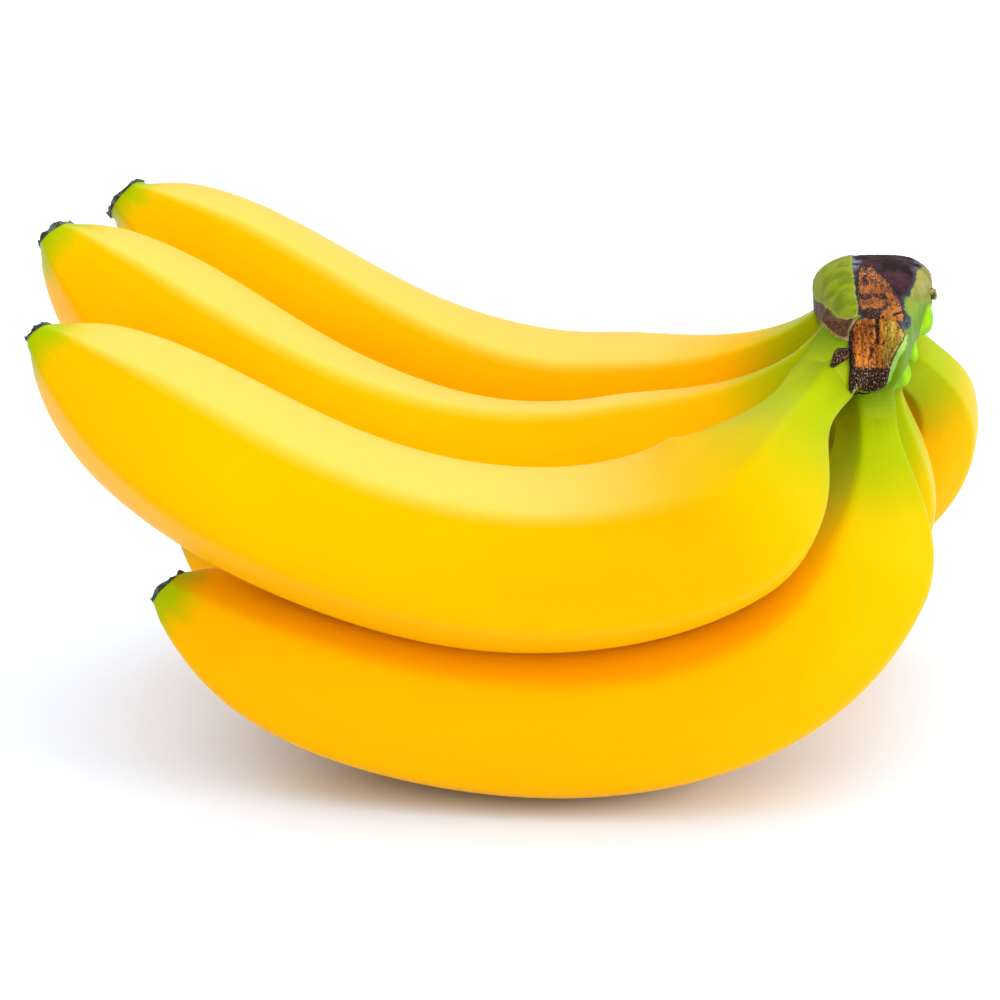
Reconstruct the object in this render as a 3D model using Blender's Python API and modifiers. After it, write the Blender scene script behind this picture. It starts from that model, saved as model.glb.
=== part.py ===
"""A bunch of six bananas, two rows of three grown on one cut crown, lying on the lower row.

Each fruit, each dried flower end, the crown and its dried cut face is one object.
X runs from the flower ends to the crown, Y from the front row to the back one, Z up.
Lengths below are millimetres and turn to metres where a mesh is written.
"""

import math
from collections import namedtuple

import bmesh
import bpy
import numpy as np
from mathutils import Matrix, Vector, noise

MM = 0.001
GAP = 0.3
CROWN_CLEARANCE = 0.4
WELD = 0.08

# A fruit's centre line is one Bezier curve: root in the crown, the pulls that bend it, tip at the flower end.
# Its stalk stays thin for a length, and the neck widens over another.
Fruit = namedtuple("Fruit", "name curve girth stalk neck")
FRUITS = (
    Fruit("upper_front", ((71.3, 20, 92.1), (33, -19, 59.5), (79.2, -14, 103.1), (17.7, 5, -6.4), (-90.7, 1.5, 101.5)),
          36.6, 16.6, 33),
    Fruit("upper_middle", ((74.1, 35, 92), (37, 36, 38.6), (-33.5, 37, 45.4), (-92, 38, 111.6)), 36.6, 4.5, 57),
    Fruit("upper_back", ((77.3, 49, 92.8), (17.5, 100, 15.9), (-45, 74, 81.3), (-81, 74, 108.6)), 36.6, 12.4, 60),
    Fruit("lower_front", ((73.9, 27, 83.8), (90.3, -14.5, 9.4), (-19, 13, 1.3), (-69.1, 11, 44.3)), 36.6, 10, 30),
    Fruit("lower_middle", ((77.3, 42, 83.9), (94.3, 52.5, -0.3), (-29.3, 49, 5.5), (-66.7, 49, 46.6)), 36.6, 8, 26),
    Fruit("lower_back", ((78.3, 56, 82.4), (157.8, 105, 31.4), (-71.1, 82, -13.4), (-59.5, 86, 45.3)), 35.0, 15.4, 48),
)

# Thickness of a fruit along its length.
STALK_RADIUS = 6.4
TIP_RADIUS = 5.0
NECK_FADE = 53
NOSE_LENGTH = 75
NOSE_BLUNTNESS = 4.6
BELLY = 0.25

# Five facets round the fruit, sharper towards both ends.
FACETS = 5
FACET_POWER = 10
FACET_SCALE = 1.06
ANGULAR_BODY = 0.55
ANGULAR_NECK = 0.75
ANGULAR_NOSE = 0.65
FRUIT_SIDES = 20
FRUIT_RINGS = 28
END_CROWDING = 0.06
FRUIT_START = 3.0

# The lower fruit are pressed flat at this height, where they lie.
REST_HEIGHT = 0.2

# Dried flower end: a short ragged stub that fills the fruit's blunt end.
STUB_LENGTH = 1.7
STUB_SIDES = 15
STUB_RINGS = 4

# Crown: a ridge along Y, with a sleeve round the root of each stalk.
# Each station of the ridge is its Y, the X and Z of its middle, its width to the left and right, up and down.
RIDGE = (
    (14.5, 75.5, 91.5, 5.5, 5.5, 7.0, 7.0),
    (16.0, 75.5, 91.8, 6.8, 6.4, 8.4, 8.0),
    (24.0, 76.5, 92.3, 8.2, 7.4, 8.8, 8.5),
    (36.0, 77.5, 93.0, 10.8, 9.0, 9.0, 9.0),
    (48.0, 79.0, 93.3, 13.2, 11.6, 8.9, 9.5),
    (57.0, 80.0, 93.2, 13.6, 11.6, 7.6, 9.0),
    (62.5, 80.0, 92.8, 11.0, 9.5, 5.6, 7.5),
    (65.0, 80.0, 92.4, 6.5, 6.0, 3.6, 5.0),
)
RIDGE_SIDES = 20
RIDGE_RINGS = 18
RIDGE_SQUARENESS = 2.6
SLEEVE_START = -1.5
SLEEVE_END = 12.0
SLEEVE_WALL = 0.8
CROWN_VOXEL = 2.0
CROWN_SMOOTHING = 2

# Dried cut face: a crust along the top of the ridge and down its front end. Stations are X, Y, Z, half width.
CUT_PATH = (
    (78.5, 50.0, 100.4, 2.5),
    (78.3, 44.0, 101.2, 4.8),
    (77.6, 32.0, 101.3, 5.6),
    (76.8, 21.0, 100.8, 4.9),
    (76.2, 15.4, 98.6, 5.4),
    (75.6, 12.8, 94.0, 6.2),
    (74.0, 10.8, 89.5, 5.8),
    (71.6, 8.8, 86.0, 4.0),
)
CUT_THICKNESS = 2.4
CUT_SIDES = 14
CUT_RINGS = 20
CUT_ROUGHNESS = 0.5

PEEL_YELLOW = (0.95, 0.62, 0.02, 1.0)
CROWN_GREEN = (0.24, 0.38, 0.03, 1.0)
CUT_BROWN = (0.22, 0.10, 0.02, 1.0)
STUB_BLACK = (0.03, 0.035, 0.03, 1.0)


def plain_material(name, color, roughness):
    material = bpy.data.materials.new(name)
    material.use_nodes = True
    shader = material.node_tree.nodes["Principled BSDF"]
    shader.inputs["Base Color"].default_value = color
    shader.inputs["Roughness"].default_value = roughness
    return material


def ease(x):
    """Smooth rise from 0 to 1."""
    x = min(max(x, 0.0), 1.0)
    return x * x * (3 - 2 * x)


class Spine:
    """A fruit's centre line, read by distance from the root. The flower end takes its last stretch."""

    SAMPLES = 400

    def __init__(self, fruit):
        pulls = np.array(fruit.curve, float)
        root, tip, last = pulls[0], pulls[-1], len(pulls) - 1
        t = np.linspace(0, 1, self.SAMPLES)[:, None]
        self.points = sum(math.comb(last, i) * (1 - t) ** (last - i) * t**i * pull for i, pull in enumerate(pulls))
        steps = np.linalg.norm(np.diff(self.points, axis=0), axis=1)
        self.along = np.concatenate([[0], np.cumsum(steps)])
        self.whole = self.along[-1]
        self.length = self.whole - STUB_LENGTH
        bend = np.cross(self.points[self.SAMPLES // 2] - root, tip - root)
        self.bend = bend / np.linalg.norm(bend)

    def at(self, s):
        """The point at distance s; past either end the line goes straight on."""
        inside = min(max(s, 0.0), self.whole)
        point = np.array([np.interp(inside, self.along, self.points[:, i]) for i in range(3)])
        if s < 0:
            point += s * (self.points[1] - self.points[0]) / self.along[1]
        if s > self.whole:
            last = self.points[-1] - self.points[-2]
            point += (s - self.whole) * last / np.linalg.norm(last)
        return point

    def frame(self, s):
        """Centre, the direction to the hollow side of the bend, and the direction across it."""
        forward = self.at(s + 1) - self.at(s - 1)
        forward /= np.linalg.norm(forward)
        hollow = np.cross(forward, self.bend)
        hollow /= np.linalg.norm(hollow)
        return self.at(s), hollow, np.cross(forward, hollow)


def fruit_radius(fruit, s, length):
    """Half the thickness at distance s: thin stalk, full body, blunt nose."""
    full = fruit.girth / 2
    neck = STALK_RADIUS + (full - STALK_RADIUS) * ease((s - fruit.stalk) / fruit.neck)
    to_tip = min(max((length - s) / NOSE_LENGTH, 0.0), 1.0)
    nose = TIP_RADIUS + (full - TIP_RADIUS) * (1 - (1 - to_tip) ** NOSE_BLUNTNESS)
    belly = 1 - BELLY * (s / length - 0.5) ** 2
    return neck * nose / full * belly


def facet_shape(angle):
    """Rounded pentagon about 1 across, with a flat facet at angle 0."""
    total = 0.0
    for i in range(FACETS):
        total += max(0.0, math.cos(angle - i * 2 * math.pi / FACETS)) ** FACET_POWER
    return total ** (-1 / FACET_POWER) / FACET_SCALE


def section(s, length, angle):
    near_root = 1 - ease(s / NECK_FADE)
    near_tip = 1 - ease((length - s) / NOSE_LENGTH)
    angular = (ANGULAR_BODY + (ANGULAR_NECK - ANGULAR_BODY) * near_root
               + (ANGULAR_NOSE - ANGULAR_BODY) * near_tip)
    return 1 + angular * (facet_shape(angle) - 1)


def shaped_tube(name, sides, rings, place, material):
    """A capped cylinder with rings cut into it, each vertex moved to place(t, angle), t from 0 to 1."""
    bm = bmesh.new()
    bmesh.ops.create_cone(bm, cap_ends=True, segments=sides, radius1=1, radius2=1, depth=1)
    uprights = [e for e in bm.edges if abs(e.verts[0].co.z - e.verts[1].co.z) > 0.5]
    bmesh.ops.subdivide_edges(bm, edges=uprights, cuts=rings - 1)
    for v in bm.verts:
        v.co = Vector(place(v.co.z + 0.5, math.atan2(v.co.y, v.co.x))) * MM
    caps = [f for f in bm.faces if len(f.verts) == sides]
    bmesh.ops.poke(bm, faces=caps)
    if bm.calc_volume(signed=True) < 0:
        bmesh.ops.reverse_faces(bm, faces=bm.faces)
    mesh = bpy.data.meshes.new(name)
    bm.to_mesh(mesh)
    bm.free()
    mesh.shade_smooth()
    if material:
        mesh.materials.append(material)
    obj = bpy.data.objects.new(name, mesh)
    bunch.objects.link(obj)
    return obj


def fruit_tube(name, fruit, start, end, rings, wall, material):
    """The fruit's own shape between two distances from the root, thicker by wall."""
    spine = Spine(fruit)

    def place(t, angle):
        s = start + (end - start) * (t - END_CROWDING * math.sin(2 * math.pi * t))
        centre, hollow, across = spine.frame(s)
        radius = (fruit_radius(fruit, s, spine.length) + wall) * section(s, spine.length, angle)
        return centre + radius * (math.cos(angle) * hollow + math.sin(angle) * across)

    return shaped_tube(name, FRUIT_SIDES, rings, place, material)


def flower_end(fruit, material):
    """Short ragged stub, hollowed in the middle, just clear of the fruit's blunt end."""
    spine = Spine(fruit)
    start = spine.length + GAP

    def place(t, angle):
        ragged = noise.noise(Vector((3 * math.cos(angle), 3 * math.sin(angle), 9 * t + spine.length)))
        s = start + STUB_LENGTH * t * (1 + 0.5 * ragged)
        _, hollow, across = spine.frame(spine.length)
        radius = TIP_RADIUS * 0.93 * (1 - 0.35 * t * t) * section(spine.length, spine.length, angle)
        radius *= 1 + 0.16 * t * ragged
        return spine.at(s) + radius * (math.cos(angle) * hollow + math.sin(angle) * across)

    return shaped_tube("flower_end_" + fruit.name, STUB_SIDES, STUB_RINGS, place, material)


def stations(table, column, at):
    """Value of a table's column at a place along it, smooth between its rows."""
    positions = np.linspace(0, 1, len(table))
    return float(np.interp(at, positions, [row[column] for row in table]))


def ridge_tube():
    def place(t, angle):
        t = t - 0.02 * math.sin(2 * math.pi * t)
        y, x, z, left, right, up, down = (stations(RIDGE, i, t) for i in range(7))
        c, s = math.cos(angle), math.sin(angle)
        power = 2 / RIDGE_SQUARENESS
        wide = math.copysign(abs(c) ** power, c) * (right if c > 0 else left)
        high = math.copysign(abs(s) ** power, s) * (up if s > 0 else down)
        return (x + wide, y, z + high)

    return shaped_tube("crown", RIDGE_SIDES, RIDGE_RINGS, place, crown_green)


def cut_crust():
    """The dried crust, laid along its path, ragged at the rim."""

    def place(t, angle):
        centre = np.array([stations(CUT_PATH, i, t) for i in range(3)])
        ahead = np.array([stations(CUT_PATH, i, min(t + 0.04, 1)) for i in range(3)])
        behind = np.array([stations(CUT_PATH, i, max(t - 0.04, 0)) for i in range(3)])
        forward = (ahead - behind) / np.linalg.norm(ahead - behind)
        wide = np.array([1.0, 0.0, 0.0])
        out = np.cross(wide, forward)
        out /= np.linalg.norm(out)
        half = stations(CUT_PATH, 3, t)
        point = centre + math.cos(angle) * half * wide + math.sin(angle) * CUT_THICKNESS * out
        rough = noise.noise(Vector(point) * 0.35)
        return point + CUT_ROUGHNESS * rough * (math.cos(angle) * 2 * wide + math.sin(angle) * out)

    return shaped_tube("crown_cut", CUT_SIDES, CUT_RINGS, place, cut_brown)


def boolean(target, other, operation):
    modifier = target.modifiers.new(operation.lower() + "_" + other.name, "BOOLEAN")
    modifier.operation = operation
    modifier.solver = "EXACT"
    modifier.object = other


def apply_modifiers(obj):
    """Bakes the modifiers into the mesh, without the slivers that trimming leaves."""
    graph = bpy.context.evaluated_depsgraph_get()
    mesh = bpy.data.meshes.new_from_object(obj.evaluated_get(graph))
    obj.modifiers.clear()
    obj.data = mesh
    bm = bmesh.new()
    bm.from_mesh(mesh)
    bmesh.ops.remove_doubles(bm, verts=bm.verts, dist=WELD * MM)
    bmesh.ops.triangulate(bm, faces=bm.faces, quad_method="BEAUTY", ngon_method="BEAUTY")
    bmesh.ops.dissolve_degenerate(bm, edges=bm.edges, dist=WELD * MM)
    loose = [v for v in bm.verts if not v.link_faces]
    bmesh.ops.delete(bm, geom=loose, context="VERTS")
    bm.to_mesh(mesh)
    bm.free()
    mesh.shade_smooth()


def press_flat(obj, height):
    """Cuts the underside off level, which leaves a small flat spot to lie on."""
    bm = bmesh.new()
    bm.from_mesh(obj.data)
    everything = bm.verts[:] + bm.edges[:] + bm.faces[:]
    cut = bmesh.ops.bisect_plane(bm, geom=everything, plane_co=(0, 0, height), plane_no=(0, 0, -1), clear_outer=True)
    rim = [e for e in cut["geom_cut"] if isinstance(e, bmesh.types.BMEdge)]
    bmesh.ops.contextual_create(bm, geom=rim)
    bm.to_mesh(obj.data)
    bm.free()


for old in list(bpy.data.objects):
    bpy.data.objects.remove(old)
bunch = bpy.data.collections.new("bunch_of_bananas")
bpy.context.scene.collection.children.link(bunch)

peel = plain_material("banana_peel", PEEL_YELLOW, 0.45)
crown_green = plain_material("crown_skin", CROWN_GREEN, 0.55)
cut_brown = plain_material("dried_cut", CUT_BROWN, 0.85)
stub_black = plain_material("dried_flower", STUB_BLACK, 0.8)

# Crown: the ridge and the six sleeves joined, then smoothed into one body.
crown = ridge_tube()
sleeves = [fruit_tube("sleeve_" + f.name, f, SLEEVE_START, SLEEVE_END, 5, SLEEVE_WALL, None) for f in FRUITS]
for sleeve in sleeves:
    boolean(crown, sleeve, "UNION")
remesh = crown.modifiers.new("one_body", "REMESH")
remesh.mode = "VOXEL"
remesh.voxel_size = CROWN_VOXEL * MM
smooth = crown.modifiers.new("soften", "SMOOTH")
smooth.iterations = CROWN_SMOOTHING
smooth.factor = 0.5
apply_modifiers(crown)
for sleeve in sleeves:
    bpy.data.objects.remove(sleeve)

# The crown grown by the gap trims whatever meets it.
clearance = crown.copy()
clearance.name = "crown_clearance"
bunch.objects.link(clearance)
grow = clearance.modifiers.new("gap", "DISPLACE")
grow.strength = CROWN_CLEARANCE * MM
grow.mid_level = 0
apply_modifiers(clearance)

for fruit in FRUITS:
    length = Spine(fruit).length
    banana = fruit_tube("banana_" + fruit.name, fruit, FRUIT_START, length, FRUIT_RINGS, 0, peel)
    boolean(banana, clearance, "DIFFERENCE")
    apply_modifiers(banana)
    if fruit.name.startswith("lower"):
        press_flat(banana, REST_HEIGHT * MM)
    flower_end(fruit, stub_black)

cut = cut_crust()
boolean(cut, clearance, "DIFFERENCE")
front_stalks = [fruit_tube("clearance_" + f.name, f, 0, NECK_FADE, 12, CROWN_CLEARANCE, None)
                for f in FRUITS if f.name.endswith("front")]
for stalk in front_stalks:
    boolean(cut, stalk, "DIFFERENCE")
apply_modifiers(cut)
for helper in [clearance] + front_stalks:
    bpy.data.objects.remove(helper)

# The origin goes to the middle of the bunch's outline on the surface it lies on.
corners = np.array([v.co for obj in bunch.objects for v in obj.data.vertices])
middle = (corners.min(axis=0) + corners.max(axis=0)) / 2
shift = Matrix.Translation((-middle[0], -middle[1], -REST_HEIGHT * MM))
for obj in bunch.objects:
    obj.data.transform(shift)
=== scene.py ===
import math

import bmesh
import bpy
import numpy as np
from mathutils import Matrix, Vector, noise
from mathutils.bvhtree import BVHTree


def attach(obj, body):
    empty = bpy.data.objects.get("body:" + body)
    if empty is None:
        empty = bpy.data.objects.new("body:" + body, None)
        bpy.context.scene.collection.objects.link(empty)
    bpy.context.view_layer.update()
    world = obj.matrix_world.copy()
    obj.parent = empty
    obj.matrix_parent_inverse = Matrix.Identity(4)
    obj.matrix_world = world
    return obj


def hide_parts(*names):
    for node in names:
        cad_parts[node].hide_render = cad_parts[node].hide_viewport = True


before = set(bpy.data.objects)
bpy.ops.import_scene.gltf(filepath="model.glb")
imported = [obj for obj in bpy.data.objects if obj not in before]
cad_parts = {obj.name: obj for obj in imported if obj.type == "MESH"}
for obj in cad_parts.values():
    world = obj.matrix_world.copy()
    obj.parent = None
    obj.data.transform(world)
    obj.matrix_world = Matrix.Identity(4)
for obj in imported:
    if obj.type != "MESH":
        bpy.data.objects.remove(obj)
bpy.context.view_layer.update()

# The six bananas. Each is one ripe fruit and its stalk, grown in one piece: soft flesh in a waxy peel with
# five blunt ridges, bent along one curve from the crown to the flower end. Lengths are in millimetres, and
# ORIGIN is where the part's own origin lies among the curves.
MM = 0.001
ORIGIN = np.array((5.23, 39.73, 0.2))

# Name, the curve from the root in the crown to the flower end, thickness, stalk's length and neck's length.
BANANAS = (
    ("upper_front",
     ((71.3, 20, 92.1), (33, -19, 59.5), (79.2, -14, 103.1), (17.7, 5, -6.4), (-90.7, 1.5, 101.5)),
     36.6, 16.6, 33),
    ("upper_middle", ((74.1, 35, 92), (37, 36, 38.6), (-33.5, 37, 45.4), (-92, 38, 111.6)), 36.6, 4.5, 57),
    ("upper_back", ((77.3, 49, 92.8), (17.5, 100, 15.9), (-45, 74, 81.3), (-81, 74, 108.6)), 36.6, 12.4, 60),
    ("lower_front", ((73.9, 27, 83.8), (90.3, -14.5, 9.4), (-19, 13, 1.3), (-69.1, 11, 44.3)), 36.6, 10, 30),
    ("lower_middle",
     ((77.3, 42, 83.9), (94.3, 52.5, -0.3), (-29.3, 49, 5.5), (-66.7, 49, 46.6)), 36.6, 8, 26),
    ("lower_back",
     ((78.3, 56, 82.4), (157.8, 105, 31.4), (-71.1, 82, -13.4), (-59.5, 86, 45.3)), 35.0, 15.4, 48),
)
# How far each nose reaches past its shoulder, the radius of its flower end, how far its section is turned in
# its middle and at its nose, in degrees, and how quickly its green neck turns yellow.
TIPS = {
    "upper_front": (1.5, 3.0, -43, -43, 0.68),
    "upper_middle": (0.6, 4.0, 17, -3, 1.0),
    "upper_back": (0.9, 5.0, 24, 27, 1.0),
    "lower_front": (0.4, 4.2, 36, 36, 0.9),
    "lower_middle": (0.4, 4.2, 36, 36, 1.15),
    "lower_back": (0.4, 4.2, 36, 36, 1.0),
}
TURN_PLACES = (0.4, 0.85)
CURVE_STEPS = 400
SHOULDER = 3.0
STALK_RADIUS = 6.4
TIP_RADIUS = 5.0
FLOWER_END_LENGTH = 1.7
NECK_FADE = 53
NOSE_LENGTH = 75
NOSE_BLUNTNESS = 4.6
BELLY = 0.25
RIDGES = 5
RIDGE_SHARPNESS = 24
RIDGE_SCALE = 1.07
ANGULAR_BODY = 0.62
ANGULAR_NECK = 0.85
ANGULAR_NOSE = 0.75
UNEVENNESS = 0.3
LUMP_LENGTH = 30
END_TILT = 1.9
TILT_LENGTH = 12
PEEL_SIDES = 90
PEEL_RINGS = 140
# Rings stand closer together towards both ends, by this share of the length.
RING_CROWDING = 0.09
REST_HEIGHT = 0.2


def ease(x):
    """Smooth rise from 0 to 1."""
    x = min(max(x, 0.0), 1.0)
    return x * x * (3 - 2 * x)


class Banana:
    """One banana's centre line and thickness, read by distance from its root."""

    def __init__(self, name, curve, girth, stalk, neck):
        self.name, self.girth, self.stalk, self.neck = name, girth, stalk, neck
        pulls = np.array(curve, float)
        last = len(pulls) - 1
        t = np.linspace(0, 1, CURVE_STEPS)[:, None]
        self.points = sum(math.comb(last, i) * (1 - t) ** (last - i) * t**i * pull
                          for i, pull in enumerate(pulls))
        steps = np.linalg.norm(np.diff(self.points, axis=0), axis=1)
        self.along = np.concatenate([[0], np.cumsum(steps)])
        self.whole = self.along[-1]
        self.length = self.whole - FLOWER_END_LENGTH
        reach, self.tip, turn_middle, turn_nose, self.ripening = TIPS[name]
        self.end = self.length + reach
        self.turns = (math.radians(turn_middle), math.radians(turn_nose))
        bend = np.cross(self.points[CURVE_STEPS // 2] - pulls[0], pulls[-1] - pulls[0])
        self.bend = bend / np.linalg.norm(bend)
        final = self.points[-1] - self.points[-2]
        self.forward = final / np.linalg.norm(final)
        self.known = {}

    def at(self, s):
        """The point at distance s; past either end the line goes straight on."""
        inside = min(max(s, 0.0), self.whole)
        point = np.array([np.interp(inside, self.along, self.points[:, i]) for i in range(3)])
        if s < 0:
            point += s * (self.points[1] - self.points[0]) / self.along[1]
        if s > self.whole:
            point += (s - self.whole) * self.forward
        return point

    def frame(self, s):
        """Centre, the direction to the hollow side of the bend, and the direction across it."""
        if s not in self.known:
            # Away from the ends the direction is read over a long stretch, so a tight bend makes no fold.
            stretch = 1 + 10 * ease(s / 30) * ease((self.length - s) / 30)
            ahead = self.at(s + stretch) - self.at(s - stretch)
            ahead /= np.linalg.norm(ahead)
            hollow = np.cross(self.bend, ahead)
            hollow /= np.linalg.norm(hollow)
            self.known[s] = (self.at(s), hollow, np.cross(ahead, hollow))
        return self.known[s]

    def radius(self, s):
        """Half the thickness at distance s: thin stalk, full body, blunt nose."""
        full = self.girth / 2
        neck = STALK_RADIUS + (full - STALK_RADIUS) * ease((s - self.stalk) / self.neck)
        to_tip = min(max((self.length - s) / NOSE_LENGTH, 0.0), 1.0)
        nose = TIP_RADIUS + (full - TIP_RADIUS) * (1 - (1 - to_tip) ** NOSE_BLUNTNESS)
        shaft = neck * nose / full * (1 - BELLY * (s / self.length - 0.5) ** 2)
        # The last few millimetres close in a dome round the small flower end.
        closing = min(max((s - self.length + SHOULDER) / (self.end - self.length + SHOULDER), 0.0), 1.0)
        return self.tip + (shaft - self.tip) * math.sqrt(1 - closing**2) if closing > 0 else shaft

    def turn(self, s):
        """How far the section is turned at distance s: the ridges of some fruit wind a little."""
        return float(np.interp(s / self.length, TURN_PLACES, self.turns))

    def ridged(self, s, angle):
        """A rounded pentagon of radius 1, sharper towards both ends, with a facet at the fruit's turn."""
        total = 0.0
        turned = angle - self.turn(s)
        for i in range(RIDGES):
            total += max(0.0, math.cos(turned - i * 2 * math.pi / RIDGES)) ** RIDGE_SHARPNESS
        pentagon = total ** (-1 / RIDGE_SHARPNESS) / RIDGE_SCALE
        near_root = 1 - ease(s / NECK_FADE)
        near_tip = 1 - ease((self.length - s) / NOSE_LENGTH)
        angular = (ANGULAR_BODY + (ANGULAR_NECK - ANGULAR_BODY) * near_root
                   + (ANGULAR_NOSE - ANGULAR_BODY) * near_tip)
        return 1 + angular * (pentagon - 1)


def tube(sides, rings, place, memory=()):
    """A capped cylinder with rings cut round it. place(t, angle) gives a vertex its point and its notes."""
    bm = bmesh.new()
    layers = [bm.verts.layers.float_vector.new(name) for name in memory]
    bmesh.ops.create_cone(bm, cap_ends=True, segments=sides, radius1=1, radius2=1, depth=1)
    uprights = [e for e in bm.edges if abs(e.verts[0].co.z - e.verts[1].co.z) > 0.5]
    bmesh.ops.subdivide_edges(bm, edges=uprights, cuts=rings - 1)
    for v in bm.verts:
        point, *notes = place(v.co.z + 0.5, math.atan2(v.co.y, v.co.x))
        v.co = Vector(point)
        for layer, note in zip(layers, notes):
            v[layer] = Vector(note)
    caps = [f for f in bm.faces if len(f.verts) == sides]
    bmesh.ops.poke(bm, faces=caps)
    if bm.calc_volume(signed=True) < 0:
        bmesh.ops.reverse_faces(bm, faces=bm.faces)
    return bm


def finished(name, bm, material):
    """Turns a mesh drawn in millimetres into a piece of the bunch."""
    bmesh.ops.transform(bm, matrix=Matrix.Translation(Vector(-ORIGIN)), verts=bm.verts)
    bmesh.ops.scale(bm, vec=(MM, MM, MM), verts=bm.verts)
    mesh = bpy.data.meshes.new(name)
    bm.to_mesh(mesh)
    bm.free()
    mesh.shade_smooth()
    mesh.materials.append(material)
    piece = bpy.data.objects.new(name, mesh)
    bpy.context.scene.collection.objects.link(piece)
    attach(piece, "root")
    return piece


def linear(colour):
    """An sRGB hex colour as linear red, green, blue and alpha."""
    channels = [int(colour[i:i + 2], 16) / 255 for i in (1, 3, 5)]
    return tuple(c / 12.92 if c <= 0.04045 else ((c + 0.055) / 1.055) ** 2.4 for c in channels) + (1.0,)


def add(tree, kind, settings, sockets):
    """Adds a node. A socket takes a value, another node's first live output, or one output by itself."""
    made = tree.nodes.new(kind)
    for name, value in settings.items():
        setattr(made, name, value)
    for name, value in sockets.items():
        if isinstance(value, bpy.types.Node):
            value = next(o for o in value.outputs if o.enabled)
        if isinstance(value, bpy.types.NodeSocket):
            tree.links.new(value, made.inputs[name])
        else:
            made.inputs[name].default_value = value
    return made


def maths(tree, operation, *values):
    return add(tree, "ShaderNodeMath", {"operation": operation}, dict(enumerate(values)))


def spread(tree, value, low, high, start=0.0, end=1.0):
    """Maps low to high onto start to end in a straight line."""
    return add(tree, "ShaderNodeMapRange", {}, {0: value, 1: low, 2: high, 3: start, 4: end})


def ramp(tree, value, start, end):
    """Smooth rise from 0 at start to 1 at end."""
    return add(tree, "ShaderNodeMapRange", {"interpolation_type": "SMOOTHSTEP"},
               {0: value, 1: start, 2: end, 3: 0.0, 4: 1.0})


def over(tree, under, colour, mask):
    """One colour laid over another where the mask is 1."""
    return add(tree, "ShaderNodeMix", {"data_type": "RGBA"}, {0: mask, 6: under, 7: colour})


def remembered(tree, name):
    """What the mesh's vertices remember under a name."""
    return add(tree, "ShaderNodeAttribute", {"attribute_name": name}, {}).outputs["Vector"]


def apart(tree, vector):
    """The three parts of a vector."""
    return add(tree, "ShaderNodeSeparateXYZ", {}, {0: vector}).outputs


def noise_at(tree, place, scale, detail):
    return add(tree, "ShaderNodeTexNoise", {}, {"Vector": place, "Scale": scale, "Detail": detail})


def begun(name):
    """A new material, its nodes and its shader."""
    material = bpy.data.materials.new(name)
    material.use_nodes = True
    return material, material.node_tree, material.node_tree.nodes["Principled BSDF"]


def completed(tree, shader, colour, bump, constants):
    """Links the colour and the relief, and sets the shader's constants."""
    tree.links.new(colour.outputs[2], shader.inputs["Base Color"])
    tree.links.new(bump.outputs[0], shader.inputs["Normal"])
    for name, value in constants.items():
        shader.inputs[name].default_value = value


def grown(tree, ripe, from_root):
    """Ripe colour that turns green along the neck and deep green in the stalk, which ripen last."""
    neck = over(tree, linear("#9EAA02"), ripe, ramp(tree, from_root, 15.0, 41.0))
    return over(tree, linear("#607E02"), neck, ramp(tree, from_root, 1.0, 14.0))


def ripe_peel():
    """Ripe peel: a waxy skin, grown, never polished. It is satin, with soft broad highlights, and light goes
    a little way in, so shaded sides turn warm orange. The hollow side's facet carries a paler painted
    highlight."""
    material, tree, shader = begun("waxy_ripe_peel")
    place = remembered(tree, "peel_place")
    from_root, to_tip, facing = apart(tree, remembered(tree, "peel_ends"))

    # Clouds 40 mm long and 12 mm wide break up every change of colour.
    stretched = add(tree, "ShaderNodeMapping", {}, {0: place, "Scale": (0.08, 0.08, 0.025)})
    clouds = noise_at(tree, stretched, 1.0, 3.0)
    cloud_shift = spread(tree, clouds, 0.3, 0.7, -1.0, 1.0)
    yellow = over(tree, linear("#F4A800"), linear("#F8B500"), clouds)
    # A paler painted highlight on the facet of the hollow side, which faces up on the upper fruit. It fades
    # out towards the root and reaches half strength at most.
    painted_highlight = ramp(tree, facing, 0.72, 0.88)
    painted_highlight = maths(tree, "MULTIPLY", painted_highlight, ramp(tree, from_root, 25.0, 60.0))
    painted_highlight = maths(tree, "MULTIPLY", painted_highlight, 0.5)
    yellow = over(tree, yellow, linear("#FFC970"), painted_highlight)

    # Unripe green stays longest on the stalk and neck, and round the flower end.
    coloured = grown(tree, yellow, maths(tree, "MULTIPLY_ADD", cloud_shift, 1.5, from_root))
    tip_green = ramp(tree, maths(tree, "MULTIPLY_ADD", cloud_shift, 1.5, to_tip), 8.0, 0.0)
    coloured = over(tree, coloured, linear("#9CB202"), tip_green)

    # Long fibres under the skin, about 1.5 mm apart, and pores about 0.5 mm apart.
    fibre_place = add(tree, "ShaderNodeMapping", {}, {0: place, "Scale": (0.65, 0.65, 0.03)})
    fibres = noise_at(tree, fibre_place, 1.0, 2.0)
    pores = noise_at(tree, place, 2.0, 2.0)
    bump = add(tree, "ShaderNodeBump", {}, {"Strength": 0.3, "Distance": 0.0002, "Height": fibres})
    bump = add(tree, "ShaderNodeBump", {},
               {"Strength": 0.3, "Distance": 0.00005, "Height": pores, "Normal": bump})
    completed(tree, shader, coloured, bump, {
        "Roughness": 0.42, "IOR": 1.45, "Specular IOR Level": 0.1, "Specular Tint": linear("#FFD21E"),
        "Subsurface Weight": 0.1, "Subsurface Radius": (1.0, 0.6, 0.1), "Subsurface Scale": 0.003})
    return material


peel = ripe_peel()
bananas = [Banana(*row) for row in BANANAS]


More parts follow.
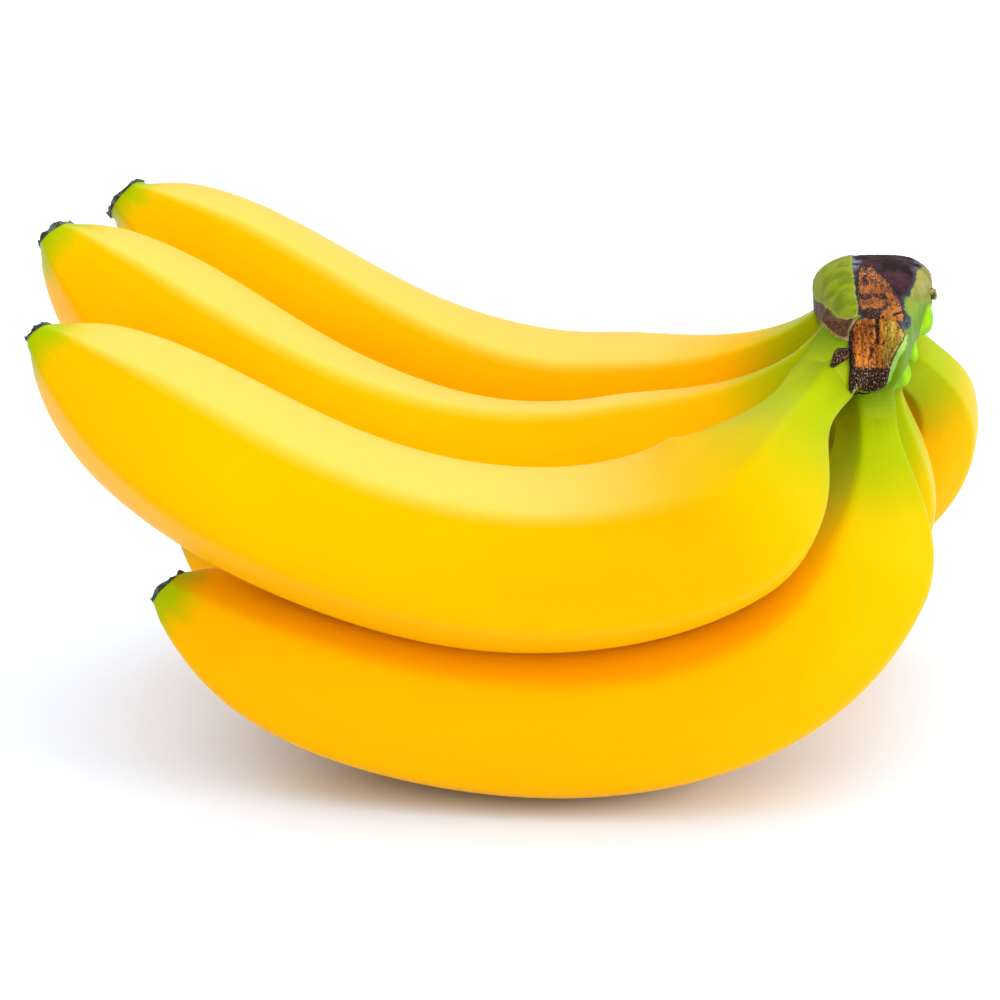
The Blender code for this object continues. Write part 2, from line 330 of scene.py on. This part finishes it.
def peeled(banana):
    """The peel's outside, from deep in the crown to the flower end."""
    lifted = banana.name.startswith("lower")
    full = banana.girth / 2

    def place(t, angle):
        s = banana.end * (t - RING_CROWDING * math.sin(2 * math.pi * t))
        centre, hollow, across = banana.frame(s)
        round_it = math.cos(angle) * hollow + math.sin(angle) * across
        # The whole length, which differs, takes each fruit to its own place in the noise.
        along = s / LUMP_LENGTH + 8 * banana.whole
        lump = noise.noise(Vector((1.3 * math.cos(angle), 1.3 * math.sin(angle), along)))
        fade = ease(s / 30) * ease((banana.length - s) / 20)
        radius = banana.radius(s) * banana.ridged(s, angle) + UNEVENNESS * fade * lump
        tilt = END_TILT * ease(1 - (banana.end - s) / TILT_LENGTH)
        point = centre + radius * round_it - tilt * round_it[1] * banana.forward
        if lifted:
            point[2] = max(point[2], REST_HEIGHT)
        return (point, (full * math.cos(angle), full * math.sin(angle), s + 300 * banana.whole),
                (s * banana.ripening, banana.end - s, math.cos(angle - banana.turn(s))))

    return tube(PEEL_SIDES, PEEL_RINGS, place, ("peel_place", "peel_ends"))


for banana in bananas:
    piece = finished("peeled_" + banana.name, peeled(banana), peel)
    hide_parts("banana_" + banana.name)

# Flower ends. Each banana's far end carries what is left of the flower: a dry black disc, ragged round the
# rim and a little sunk in the middle, grown onto the peel.
END_RIM = 0.5
END_MIDDLE = 0.15
END_BAND = 0.35
END_RAGGEDNESS = 0.9
END_SIDES = 56
END_RINGS = 16


def dried_tissue(name, dark, light, scale, start, end):
    """Dead plant tissue: matt and dark, with a lighter bloom in blotches about a millimetre wide."""
    material, tree, shader = begun(name)
    blotches = noise_at(tree, add(tree, "ShaderNodeTexCoord", {}, {}).outputs["Object"], scale, 3.0)
    colour = over(tree, linear(dark), linear(light), ramp(tree, blotches, start, end))
    bump = add(tree, "ShaderNodeBump", {}, {"Strength": 0.8, "Distance": 0.0003, "Height": blotches})
    completed(tree, shader, colour, bump, {"Roughness": 0.8})
    return material


flower_black = dried_tissue("dried_flower_tissue", "#1A2014", "#4E5F58", 900.0, 0.42, 0.66)


def flower_end(banana):
    """The disc: from a band inside the peel out to its ragged rim, then in to its middle."""

    def place(t, angle):
        centre, hollow, across = banana.frame(banana.end)
        teeth = noise.noise(Vector((1.7 * math.cos(angle), 1.7 * math.sin(angle), banana.whole)))
        teeth += 0.35 * noise.noise(Vector((5 * math.cos(angle), 5 * math.sin(angle), banana.whole)))
        rim = max(END_RIM + END_RAGGEDNESS * teeth, END_MIDDLE)
        if t < 0.5:
            inward, depth = 1.05 - 0.15 * t, -END_BAND + (rim + END_BAND) * 2 * t
        else:
            to_middle = max(2 - 2 * t, 0.02)
            inward, depth = 0.97 * to_middle ** 0.8, END_MIDDLE + (rim - END_MIDDLE) * to_middle ** 2
        radius = banana.tip * inward * banana.ridged(banana.length, angle)
        round_it = math.cos(angle) * hollow + math.sin(angle) * across
        tilt = END_TILT * round_it[1] * inward
        return (centre + radius * round_it + (depth - tilt) * banana.forward,)

    return tube(END_SIDES, END_RINGS, place)


for banana in bananas:
    piece = finished("dry_end_" + banana.name, flower_end(banana), flower_black)
    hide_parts("flower_end_" + banana.name)

# Crown. The block of stem tissue that all six stalks grow from, cut off the plant with a knife: green skin at
# the left, dead purple skin over the top, pale skin at the right, and a collar of skin round each stalk.

# Stations of its ridge: Y, the X and Z of its middle, its width to the left and right, up and down.
RIDGE = (
    (14.5, 75.5, 91.5, 5.5, 5.5, 7.0, 7.0),
    (16.0, 75.5, 91.8, 6.8, 6.4, 8.4, 8.0),
    (24.0, 76.5, 92.3, 8.2, 7.4, 8.8, 8.5),
    (36.0, 77.5, 93.0, 10.8, 9.0, 9.0, 9.0),
    (48.0, 79.0, 93.3, 13.2, 11.6, 8.9, 9.5),
    (57.0, 80.0, 93.2, 13.6, 11.6, 7.6, 9.0),
    (62.5, 80.0, 92.8, 11.0, 9.5, 5.6, 7.5),
    (65.0, 80.0, 92.4, 6.5, 6.0, 3.6, 5.0),
)
RIDGE_SQUARENESS = 2.6
COLLAR_START = -1.5
COLLAR_LENGTH = 14
COLLAR_WALL = 0.8
# Swellings of green skin on the right: middle and radii.
LOBES = (
    ((88.0, 46.0, 90.2), (2.6, 6.0, 3.4)),
    ((85.0, 34.0, 86.9), (1.5, 3.2, 2.4)),
    ((82.2, 27.5, 84.0), (2.4, 3.2, 2.8)),
)
CROWN_VOXEL = 0.5
CROWN_SMOOTHING = 5

# Where each kind of skin lies is drawn on an upright sheet that faces the viewer's eye, with its middle at
# 500, 500. A thing as wide as it is far away covers 3750 units of it; at the crown a unit is 0.205 mm.
SHEET_UNIT = 0.205
SHEET_SCALE = 3750
SHEET_MIDDLE = 500
LOOK_DOWN = math.radians(21)
EYE = np.array((0, -700.2, 335.8))
RIGHT = np.array((1.0, 0.0, 0.0))
UPWARD = np.array((0, math.sin(LOOK_DOWN), math.cos(LOOK_DOWN)))
AHEAD = np.array((0, math.cos(LOOK_DOWN), -math.sin(LOOK_DOWN)))
GREEN_SIDE = ((854, 240), (852, 256), (852, 263), (854, 278), (856, 296), (859, 307), (858, 314), (853, 320),
              (846, 321), (839, 318), (833, 312), (826, 306), (820, 302), (800, 296), (800, 240))
PURPLE_TOP = ((854, 240), (852, 256), (852, 263), (854, 278), (856, 296), (859, 307), (858, 314), (866, 322),
              (880, 326), (900, 326), (905, 312), (904, 297), (911, 296), (911, 289), (916, 280), (916, 272),
              (922, 266), (930, 262), (930, 240))
PALE_SIDE = ((916, 272), (922, 264), (950, 262), (950, 298), (928, 300), (921, 306), (915, 320), (908, 314),
             (903, 304), (911, 296), (911, 289), (916, 280))
DARK_EDGE = ((889, 298), (898, 300), (904, 308), (912, 318), (911, 326), (906, 331), (900, 324), (898, 312))
DEAD_LIP = ((800, 292), (813, 298), (820, 303), (828, 310), (837, 317), (847, 321), (857, 318), (855, 324),
            (851, 333), (848, 342), (841, 340), (833, 335), (826, 328), (820, 319), (813, 310), (800, 304))
PALE_STRIP = ((904, 330), (909, 335), (907, 344), (901, 354), (897, 364), (892, 376), (888, 384), (885, 386),
              (888, 376), (892, 364), (897, 350), (903, 338))
# Heights on the sheet of the crown's top edge and of its middle, and how low the purple skin comes behind.
TOP_EDGE = 262
CROWN_LEVEL = 300
PURPLE_FOOT = 94.5


def sheet_place(points):
    """Where points lie on the sheet, in its units."""
    away = points - EYE
    depth = away @ AHEAD
    return np.stack([SHEET_MIDDLE + SHEET_SCALE * (away @ RIGHT) / depth,
                     SHEET_MIDDLE - SHEET_SCALE * (away @ UPWARD) / depth], axis=1)


def within(outline, places):
    """How far inside an outline each place is, in millimetres; less than nothing outside."""
    nearest = np.full(len(places), 1e9)
    inside = np.zeros(len(places), bool)
    corners = np.array(outline, float)
    for a, b in zip(corners, np.roll(corners, -1, axis=0)):
        side = b - a
        share = np.clip((places - a) @ side / (side @ side), 0, 1)
        nearest = np.minimum(nearest, np.linalg.norm(places - a - share[:, None] * side, axis=1))
        crosses = (a[1] > places[:, 1]) != (b[1] > places[:, 1])
        reach = a[0] + (places[:, 1] - a[1]) * side[0] / (side[1] if side[1] else 1e-9)
        inside ^= crosses & (places[:, 0] < reach)
    return np.where(inside, nearest, -nearest) * SHEET_UNIT


def ridge_body():
    """The crown's core, drawn through the stations."""
    rows = np.array(RIDGE)
    spots = np.linspace(0, 1, len(rows))

    def place(t, angle):
        y, x, z, left, right, up, down = (np.interp(t, spots, rows[:, i]) for i in range(7))
        c, s = math.cos(angle), math.sin(angle)
        power = 2 / RIDGE_SQUARENESS
        wide = math.copysign(abs(c) ** power, c) * (right if c > 0 else left)
        high = math.copysign(abs(s) ** power, s) * (up if s > 0 else down)
        return ((x + wide, y, z + high),)

    return tube(sides=64, rings=60, place=place)


def collar(banana):
    """Skin round a stalk's root, thinning out until it sinks into the stalk."""

    def place(t, angle):
        s = COLLAR_START + (COLLAR_LENGTH - COLLAR_START) * t
        centre, hollow, across = banana.frame(s)
        wall = COLLAR_WALL * (1 - t) ** 0.6 - 0.35 * t
        radius = (banana.radius(s) + wall) * banana.ridged(s, angle)
        return (centre + radius * (math.cos(angle) * hollow + math.sin(angle) * across),)

    return tube(sides=48, rings=24, place=place)


def joined(parts):
    """One mesh of several."""
    whole = bmesh.new()
    for part in parts:
        mesh = bpy.data.meshes.new("part")
        part.to_mesh(mesh)
        part.free()
        whole.from_mesh(mesh)
        bpy.data.meshes.remove(mesh)
    return whole


def fused(parts, voxel, smoothing):
    """Overlapping closed meshes grown into one skin."""
    whole = joined(parts)
    mesh = bpy.data.meshes.new("to_fuse")
    whole.to_mesh(mesh)
    whole.free()
    holder = bpy.data.objects.new("to_fuse", mesh)
    bpy.context.scene.collection.objects.link(holder)
    remesh = holder.modifiers.new("one_skin", "REMESH")
    remesh.mode = "VOXEL"
    remesh.voxel_size = voxel
    one = bpy.data.meshes.new_from_object(holder.evaluated_get(bpy.context.evaluated_depsgraph_get()))
    bpy.data.objects.remove(holder)
    bm = bmesh.new()
    bm.from_mesh(one)
    bpy.data.meshes.remove(one)
    axes = {"use_axis_x": True, "use_axis_y": True, "use_axis_z": True}
    for _ in range(smoothing):
        bmesh.ops.smooth_vert(bm, verts=bm.verts, factor=0.5, **axes)
    bm.normal_update()
    return bm


def lobe(middle, radii):
    bm = bmesh.new()
    bmesh.ops.create_uvsphere(bm, u_segments=32, v_segments=24, radius=1)
    bmesh.ops.scale(bm, vec=radii, verts=bm.verts)
    bmesh.ops.translate(bm, vec=middle, verts=bm.verts)
    return bm


def stalk_distance(points):
    """How far along the nearest stalk each point is, less where it stands away from the stalk."""
    best = np.full(len(points), 1e9)
    found = np.zeros(len(points))
    for banana in bananas:
        for s in np.arange(0.0, 24.0, 1.0):
            excess = np.linalg.norm(points - banana.at(s), axis=1) - banana.radius(s)
            nearer = excess < best
            best[nearer] = excess[nearer]
            found[nearer] = s
    return found - 2.5 * np.maximum(best - 1.0, 0)


def crown_body():
    """The crown's one skin, with relief, and with each vertex told which kinds of skin it lies in."""
    collars = [collar(banana) for banana in bananas]
    swellings = [lobe(*spot) for spot in LOBES]
    bm = fused([ridge_body()] + collars + swellings, CROWN_VOXEL, CROWN_SMOOTHING)
    points = np.array([v.co for v in bm.verts])
    normals = np.array([v.normal for v in bm.verts])
    away = points - EYE
    away /= np.linalg.norm(away, axis=1)[:, None]
    hidden = (normals * away).sum(axis=1) > 0
    warp = np.array([noise.noise_vector(v.co * 0.35) for v in bm.verts])
    places = sheet_place(points)
    # The far side has no drawing: it takes its skin from the top edge of the near side, and there the purple
    # skin reaches down only to about half the crown's height.
    places[:, 1] = np.where(hidden, TOP_EDGE, places[:, 1])
    places += 1.2 * warp[:, :2]
    zones = {name: within(outline, places) for name, outline in
             (("green", GREEN_SIDE), ("purple", PURPLE_TOP), ("pale", PALE_SIDE),
              ("edge", DARK_EDGE), ("lip", DEAD_LIP), ("strip", PALE_STRIP))}
    dead_down_to = points[:, 2] - PURPLE_FOOT + 2.0 * warp[:, 2]
    zones["purple"] = np.where(hidden, np.minimum(zones["purple"], dead_down_to), zones["purple"])
    growth = stalk_distance(points)
    from_lobes = [np.linalg.norm((points - middle) / radii, axis=1) for middle, radii in LOBES]
    closeness = 1.25 - np.min(from_lobes, axis=0)
    first = bm.verts.layers.float_vector.new("skin_zones")
    second = bm.verts.layers.float_vector.new("edge_zones")
    third = bm.verts.layers.float_vector.new("skin_growth")
    for i, v in enumerate(bm.verts):
        settled = 1 - ease(growth[i] / 8)
        lump = (noise.noise(v.co * 0.25) * 0.35 + noise.noise(v.co * 1.1) * 0.08) * settled
        raised = 0.3 * ease(zones["green"][i] / 0.8 + 0.5)
        raised += 0.12 * noise.noise(v.co * 2.1) * (zones["purple"][i] > 0)
        raised += 0.8 * ease(zones["lip"][i] / 0.8 + 0.5) * ease((places[i, 1] - 298) / 30)
        raised += 0.3 * ease(zones["edge"][i] / 0.6 + 0.5)
        v[first] = (zones["green"][i], zones["purple"][i], zones["pale"][i])
        v[second] = (zones["lip"][i], zones["edge"][i], zones["strip"][i])
        v[third] = (growth[i], closeness[i], (places[i, 1] - CROWN_LEVEL) * SHEET_UNIT)
        v.co += v.normal * (lump + raised - 0.1)
    return bm


def crown_skin():
    """Living and dead skin of the stem: satin green, scarred with wax, and leathery purple where dead."""
    material, tree, shader = begun("banana_stem_skin")
    green, purple, pale = apart(tree, remembered(tree, "skin_zones"))
    lip, edge, strip = apart(tree, remembered(tree, "edge_zones"))
    growth, closeness, lower = apart(tree, remembered(tree, "skin_growth"))
    place = add(tree, "ShaderNodeTexCoord", {}, {}).outputs["Object"]
    fine = noise_at(tree, place, 1400.0, 3.0)
    broad = noise_at(tree, place, 260.0, 3.0)
    ragged = spread(tree, fine, 0.3, 0.7, -0.25, 0.25)

    def zone(distance, softness):
        return spread(tree, maths(tree, "ADD", distance, ragged), -softness, softness)

    def rim(distance, width, strength):
        """A band just inside a zone's edge."""
        inner = spread(tree, distance, width, 0.3 * width, 0.0, strength)
        return maths(tree, "MULTIPLY", inner, zone(distance, 0.08))

    def mottled(low, high, pattern, start, end):
        return over(tree, linear(low), linear(high), ramp(tree, pattern, start, end))

    colour = grown(tree, linear("#FAC400"), growth)
    lobe_green = mottled("#7CB608", "#9AC614", broad, 0.4, 0.65)
    colour = over(tree, colour, lobe_green, ramp(tree, closeness, 0.0, 0.3))
    colour = over(tree, colour, linear("#94B858"), zone(strip, 0.2))
    colour = over(tree, colour, mottled("#667A02", "#80920A", broad, 0.35, 0.6), zone(green, 0.08))
    wax = maths(tree, "MULTIPLY", ramp(tree, lower, -3.0, -8.5), zone(green, 0.1))
    wax = maths(tree, "MULTIPLY", wax, ramp(tree, broad, 0.3, 0.7))
    colour = over(tree, colour, linear("#8A8A24"), wax)
    colour = over(tree, colour, linear("#A89C5A"), rim(green, 0.35, 0.7))
    faded = mottled("#767428", "#948C4A", broad, 0.35, 0.65)
    faded = over(tree, faded, linear("#748C14"), ramp(tree, lower, -1.5, 1.5))
    colour = over(tree, colour, faded, zone(pale, 0.4))
    colour = over(tree, colour, mottled("#3A240F", "#5E4024", fine, 0.35, 0.68), zone(lip, 0.12))
    torn = maths(tree, "MULTIPLY", rim(lip, 0.4, 0.8), ramp(tree, lower, 3.0, 5.0))
    colour = over(tree, colour, linear("#A89070"), torn)
    colour = over(tree, colour, mottled("#1C0A0E", "#40202A", broad, 0.35, 0.65), zone(purple, 0.08))
    colour = over(tree, colour, linear("#343C4A"), rim(purple, 0.8, 0.7))
    bloomed = maths(tree, "MULTIPLY", rim(purple, 2.2, 0.8), ramp(tree, lower, -5.5, -7.5))
    bloomed = maths(tree, "MULTIPLY", bloomed, ramp(tree, broad, 0.4, 0.6))
    colour = over(tree, colour, linear("#7C8294"), bloomed)
    colour = over(tree, colour, mottled("#1E242C", "#4E5A5C", fine, 0.4, 0.7), zone(edge, 0.12))
    bump = add(tree, "ShaderNodeBump", {}, {"Strength": 0.5, "Distance": 0.0003, "Height": broad})
    bump = add(tree, "ShaderNodeBump", {},
               {"Strength": 0.5, "Distance": 0.0001, "Height": fine, "Normal": bump})
    completed(tree, shader, colour, bump, {"Roughness": 0.5, "Specular IOR Level": 0.05})
    return material


stem_skin = crown_skin()
crown_mesh = crown_body()
target = joined([crown_mesh.copy()] + [peeled(banana) for banana in bananas])
target_tree = BVHTree.FromBMesh(target)
target.free()
piece = finished("crown_skin", crown_mesh, stem_skin)
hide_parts("crown")

# Cut face. Where the knife went through the stem, the pith dried to a brown crust of fibres: one patch on the
# top of the crown and one tongue that hangs down its front end. Both are thin scabs that lie on the stem, and
# a torn scrap of the same crust clings beside the tongue.

# Rows of each outline: height on the sheet, left and right edge, and how far it stands out.
TOP_PATCH = ((265, 861, 866, 0.2), (267, 859, 873, 0.3), (272, 857, 879, 0.4), (277, 856, 884, 0.4),
             (287, 856, 892, 0.5), (297, 857, 899, 0.5), (305, 858, 902, 0.6), (311, 860, 904, 0.7),
             (316, 864, 905, 0.8), (320, 868, 905, 0.7), (323, 878, 904, 0.5))
TONGUE = ((317, 861, 876, 0.4), (319, 858, 890, 0.8), (322, 855, 899, 1.0), (330, 850.5, 904, 1.3),
          (335, 848.5, 905.5, 1.4), (341, 848, 903.5, 1.4), (350, 849, 897.5, 1.4), (363, 849.5, 891.5, 1.4),
          (375, 849, 889, 1.5), (385, 848.5, 886.5, 1.6), (390, 849, 880, 1.5), (394, 850.5, 868, 1.0))
SCRAP = ((348, 838, 850, 1.2), (352, 834, 851, 1.5), (357, 832.5, 850, 1.6), (361, 831, 845, 1.6),
         (365, 830, 838, 1.4), (368, 831, 834, 1.0))
CRUST_DEPTH = 1.6
# How many times each point of a crust takes its neighbours' mean distance from the viewer.
CRUST_STIFFNESS = 40


def patch_tone(u, v):
    """How dark, how golden or tan, and how flecked the top patch is: dark at its left rim and in its fold."""
    wander = 3 * noise.noise(Vector((u * 0.12, v * 0.12, 21.0)))
    rim = ease((860.5 + wander * 0.4 - u) / 3)
    fold = ease((v + wander - 306) / 5) * ease((886 - u + 2 * wander) / 8)
    smudge = 0.85 * ease(6 * noise.noise(Vector((u * 0.1, v * 0.13, 44.0))) - 0.7)
    flecks = 0.35 + 0.5 * ease((286 - v) / 10) * ease((884 - u) / 8)
    return (max(rim, fold, smudge), -1 + 0.8 * ease((v - 300) / 10), flecks)


def tongue_tone(u, v):
    """The same for the tongue: dark at its left rim, middle crack and lower third, and gold at the right."""
    wander = 4 * noise.noise(Vector((u * 0.1, v * 0.1, 31.0)))
    end = 0.9 * ease((v + 1.5 * wander - 358) / 14)
    rim = ease((855.5 + wander * 0.5 - u) / 3.5)
    crack = 0.85 * ease(1.3 - abs(u - 877.5 + 0.4 * wander) / 3) * ease((350 - v) / 10)
    stain = 0.45 * ease(1.6 - abs(u - 873 + 0.6 * wander) / 5) * ease((374 - v) / 12)
    gold = ease((u + wander - 880) / 5) * ease((372 - v) / 14)
    flecks = 0.2 + 0.45 * ease((v + 2 * wander - 350) / 16)
    return (max(end, rim, crack, stain), gold, flecks)


def scrap_tone(u, v):
    return (0.75, 0.3, 0.6)


def scab(rows, across, down, ragged, seed, tone):
    """A crust inside an outline on the sheet, laid on what is behind it, too stiff to follow small dips."""
    table = np.array(rows)
    heights = table[:, 0]
    tall = heights[-1] - heights[0]
    bm = bmesh.new()
    where = bm.verts.layers.float_vector.new("crust_place")
    shade = bm.verts.layers.float_vector.new("crust_tone")
    bmesh.ops.create_grid(bm, x_segments=across, y_segments=down, size=1)
    verts = sorted(bm.verts, key=lambda v: (-round(v.co.y, 5), v.co.x))
    columns = across + 1
    grid = np.zeros((down + 1, columns, 3))
    edge = np.zeros((down + 1, columns))
    reach = np.full((down + 1, columns), np.nan)
    rays = np.zeros((down + 1, columns, 3))
    for j in range(down + 1):
        share = j / down
        height = heights[0] + tall * share
        left, right, stand = (np.interp(height, heights, table[:, k]) for k in (1, 2, 3))
        wide = (right - left) / 2
        for i in range(columns):
            side = 2 * i / across - 1
            rough = ragged * noise.noise(Vector((height * 0.33, 4 * np.sign(side), seed)))
            rough += 0.4 * ragged * noise.noise(Vector((height * 1.1, 4 * np.sign(side), seed)))
            u = (left + right) / 2 + side * (wide + rough * abs(side))
            sag = ragged * noise.noise(Vector((u * 0.35, seed, 3.0)))
            sag += ragged * noise.noise(Vector((u * 1.3, seed, 9.0)))
            v = height + sag * share ** 6
            ray = AHEAD + (RIGHT * (u - SHEET_MIDDLE) + UPWARD * (SHEET_MIDDLE - v)) / SHEET_SCALE
            rays[j, i] = ray
            found = target_tree.ray_cast(Vector(EYE), Vector(ray).normalized())
            if found[0]:
                reach[j, i] = (np.array(found[0]) - EYE) @ AHEAD
            grid[j, i] = (u, v, stand)
            rim = min(1 - abs(side), 2 * min(share, 1 - share) * tall / max(2 * wide, 1))
            edge[j, i] = rim * wide * SHEET_UNIT
    reach = np.where(np.isnan(reach), np.nanmedian(reach), reach)
    for _ in range(CRUST_STIFFNESS):
        padded = np.pad(reach, 1, mode="edge")
        reach = (padded[:-2, 1:-1] + padded[2:, 1:-1] + padded[1:-1, :-2] + padded[1:-1, 2:]) / 4
    for index, v in enumerate(verts):
        j, i = divmod(index, columns)
        u, height, stand = grid[j, i]
        dark, gold, flecks = tone(u, height)
        fibre = noise.noise(Vector((u * 0.75, height * 0.12, seed))) * 0.4
        fibre += noise.noise(Vector((u * 0.4, height * 0.4, seed + 5))) * 0.35
        fibre += noise.noise(Vector((u * 1.1, height * 0.9, seed + 9))) * 0.25 - 0.35 * dark
        lift = stand * ease(edge[j, i] / 0.7 + 0.15) + fibre * ease(edge[j, i] / 0.6)
        v.co = Vector(EYE + rays[j, i] * (reach[j, i] - lift))
        v[where] = (u * SHEET_UNIT, height * SHEET_UNIT, edge[j, i])
        v[shade] = (dark, gold, flecks)
    made = bmesh.ops.extrude_face_region(bm, geom=bm.faces[:])
    back = [g for g in made["geom"] if isinstance(g, bmesh.types.BMVert)]
    bmesh.ops.translate(bm, vec=Vector(AHEAD * CRUST_DEPTH), verts=back)
    bmesh.ops.recalc_face_normals(bm, faces=bm.faces)
    if bm.calc_volume(signed=True) < 0:
        bmesh.ops.reverse_faces(bm, faces=bm.faces)
    return bm


def dried_pith():
    """Dried stem fibre: matt, orange-brown, dark purple-brown at the rims, with pale fibre ends."""
    material, tree, shader = begun("dried_stem_fibre")
    across, downward, inside = apart(tree, remembered(tree, "crust_place"))
    flat = add(tree, "ShaderNodeCombineXYZ", {}, {0: across, 1: downward, 2: 0.0})
    dark, gold, flecks = apart(tree, remembered(tree, "crust_tone"))

    def noisy(x, y, detail, low, high):
        stretched = add(tree, "ShaderNodeMapping", {}, {0: flat, "Scale": (x, y, 1.0)})
        return spread(tree, noise_at(tree, stretched, 1.0, detail), low, high)

    # Orange fibres, tan on the top patch and golden at the tongue's right side.
    stripes = noisy(0.7, 0.14, 3.0, 0.36, 0.66)
    colour = over(tree, linear("#8E460A"), linear("#E08A24"), stripes)
    tan = over(tree, linear("#622A0A"), linear("#AC601A"), noisy(0.9, 0.6, 3.0, 0.34, 0.68))
    colour = over(tree, colour, tan, ramp(tree, gold, 0.0, -0.7))
    golden = over(tree, linear("#927016"), linear("#CCA63A"), stripes)
    colour = over(tree, colour, golden, ramp(tree, gold, 0.1, 0.8))

    # Dark stains with ragged edges, dark pores and pale fibre ends.
    darkness = maths(tree, "MULTIPLY_ADD", noisy(1.1, 0.8, 3.0, 0.2, 0.8), 0.9, -0.45)
    darkness = maths(tree, "ADD", darkness, dark)
    stained = over(tree, linear("#1C0A06"), linear("#3A1A12"), noisy(1.6, 0.9, 2.0, 0.35, 0.65))
    colour = over(tree, colour, stained, ramp(tree, darkness, 0.3, 0.75))
    specks = over(tree, linear("#5A2A22"), linear("#30161C"), noisy(1.5, 1.5, 1.0, 0.3, 0.7))
    colour = over(tree, colour, specks, noisy(1.3, 1.0, 2.0, 0.6, 0.66))
    pale = maths(tree, "MULTIPLY", noisy(4.0, 2.2, 2.0, 0.56, 0.66), flecks)
    colour = over(tree, colour, linear("#DDB88C"), pale)

    # A dark rim of uneven width, 1 mm at most.
    rim_width = maths(tree, "MULTIPLY_ADD", noisy(1.2, 1.2, 3.0, 0.3, 0.7), 0.6, 0.1)
    rim = spread(tree, maths(tree, "DIVIDE", inside, rim_width), 0.5, 1.4, 1.0, 0.0)
    colour = over(tree, colour, linear("#2A1C24"), rim)
    fibres = noisy(2.2, 0.5, 3.0, 0.2, 0.8)
    grain = noisy(4.5, 3.5, 2.0, 0.2, 0.8)
    bump = add(tree, "ShaderNodeBump", {}, {"Strength": 0.9, "Distance": 0.0005, "Height": fibres})
    bump = add(tree, "ShaderNodeBump", {},
               {"Strength": 0.7, "Distance": 0.0003, "Height": grain, "Normal": bump})
    completed(tree, shader, colour, bump, {"Roughness": 0.6, "Specular IOR Level": 0.15})
    return material


pith = dried_pith()
top_patch = scab(TOP_PATCH, across=90, down=120, ragged=1.2, seed=3.0, tone=patch_tone)
tongue = scab(TONGUE, across=100, down=150, ragged=1.3, seed=8.0, tone=tongue_tone)
piece = finished("crown_cut_face", joined([top_patch, tongue]), pith)
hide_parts("crown_cut")
scrap = scab(SCRAP, across=30, down=40, ragged=1.0, seed=15.0, tone=scrap_tone)
finished("crown_scrap", scrap, pith)

# Nub. A crumb of a dried leaf base that is left on the crown's right edge: dead tissue, brown and wrinkled,
# grown onto the pale skin.
NUB_PLACE = (90.6, 48.0, 94.9)
NUB_RADIUS = 1.2


def nub():
    """A small ball, pushed out of shape."""
    bm = bmesh.new()
    bmesh.ops.create_icosphere(bm, subdivisions=4, radius=NUB_RADIUS)
    for v in bm.verts:
        v.co *= 1 + 0.45 * noise.noise(v.co * 1.1) + 0.2 * noise.noise(v.co * 3)
    bmesh.ops.scale(bm, vec=(0.8, 1.3, 0.9), verts=bm.verts)
    bmesh.ops.translate(bm, vec=NUB_PLACE, verts=bm.verts)
    return bm


# Dead leaf tissue: matt olive-brown with darker wrinkles.
leaf_base = dried_tissue("dried_leaf_base", "#4A3A18", "#948850", 1100.0, 0.4, 0.6)
finished("crown_nub", nub(), leaf_base)

# Floor, light and camera. A white table in a bright white room that is brightest overhead, with a faint soft
# light at the front left and a stronger one at the right; the viewer looks 21 degrees down at the bunch.
table = bpy.data.materials.new("white_table")
table.use_nodes = True
top = table.node_tree.nodes["Principled BSDF"]
# A cool white, because the fruit throw yellow light on it.
top.inputs["Base Color"].default_value = (0.77, 0.865, 1.0, 1.0)
top.inputs["Roughness"].default_value = 0.9
bm = bmesh.new()
bmesh.ops.create_grid(bm, x_segments=1, y_segments=1, size=6)
mesh = bpy.data.meshes.new("table_top")
bm.to_mesh(mesh)
bm.free()
mesh.materials.append(table)
table_top = bpy.data.objects.new("table_top", mesh)
bpy.context.scene.collection.objects.link(table_top)


def soft_light(name, spot, aim, size, power):
    lamp = bpy.data.lights.new(name, "AREA")
    lamp.shape = "SQUARE"
    lamp.size = size
    lamp.energy = power
    holder = bpy.data.objects.new(name, lamp)
    holder.location = spot
    holder.rotation_euler = (Vector(aim) - Vector(spot)).to_track_quat("-Z", "Y").to_euler()
    holder.visible_camera = False
    bpy.context.scene.collection.objects.link(holder)


soft_light("light_front", (-0.5, -1.2, 0.5), (0, 0, 0.03), 1.0, 2)
soft_light("light_right", (1.2, -0.5, 0.5), (0, 0, 0.05), 0.8, 11)

world = bpy.data.worlds.new("bright_room")
world.use_nodes = True
room = world.node_tree
direction = add(room, "ShaderNodeTexCoord", {}, {}).outputs["Generated"]
height = add(room, "ShaderNodeSeparateXYZ", {}, {0: direction}).outputs["Z"]
brightness = add(room, "ShaderNodeMapRange", {"interpolation_type": "SMOOTHSTEP"},
                 {0: height, 1: 0.25, 2: 0.85, 3: 0.42, 4: 1.85})
room.links.new(brightness.outputs[0], room.nodes["Background"].inputs["Strength"])
room.nodes["Background"].inputs["Color"].default_value = (1.0, 1.0, 1.0, 1.0)
bpy.context.scene.world = world
bpy.context.scene.view_settings.view_transform = "Standard"

VIEW_DISTANCE = 0.75
VIEW_HEIGHT = 67
aim = Vector((0, 0, VIEW_HEIGHT) - ORIGIN) * MM
lens = bpy.data.cameras.new("viewer")
lens.lens = 135
lens.sensor_width = 36
viewer = bpy.data.objects.new("viewer", lens)
viewer.location = aim + VIEW_DISTANCE * Vector((0, -math.cos(LOOK_DOWN), math.sin(LOOK_DOWN)))
viewer.rotation_euler = (math.pi / 2 - LOOK_DOWN, 0, 0)
bpy.context.scene.collection.objects.link(viewer)
bpy.context.scene.camera = viewer
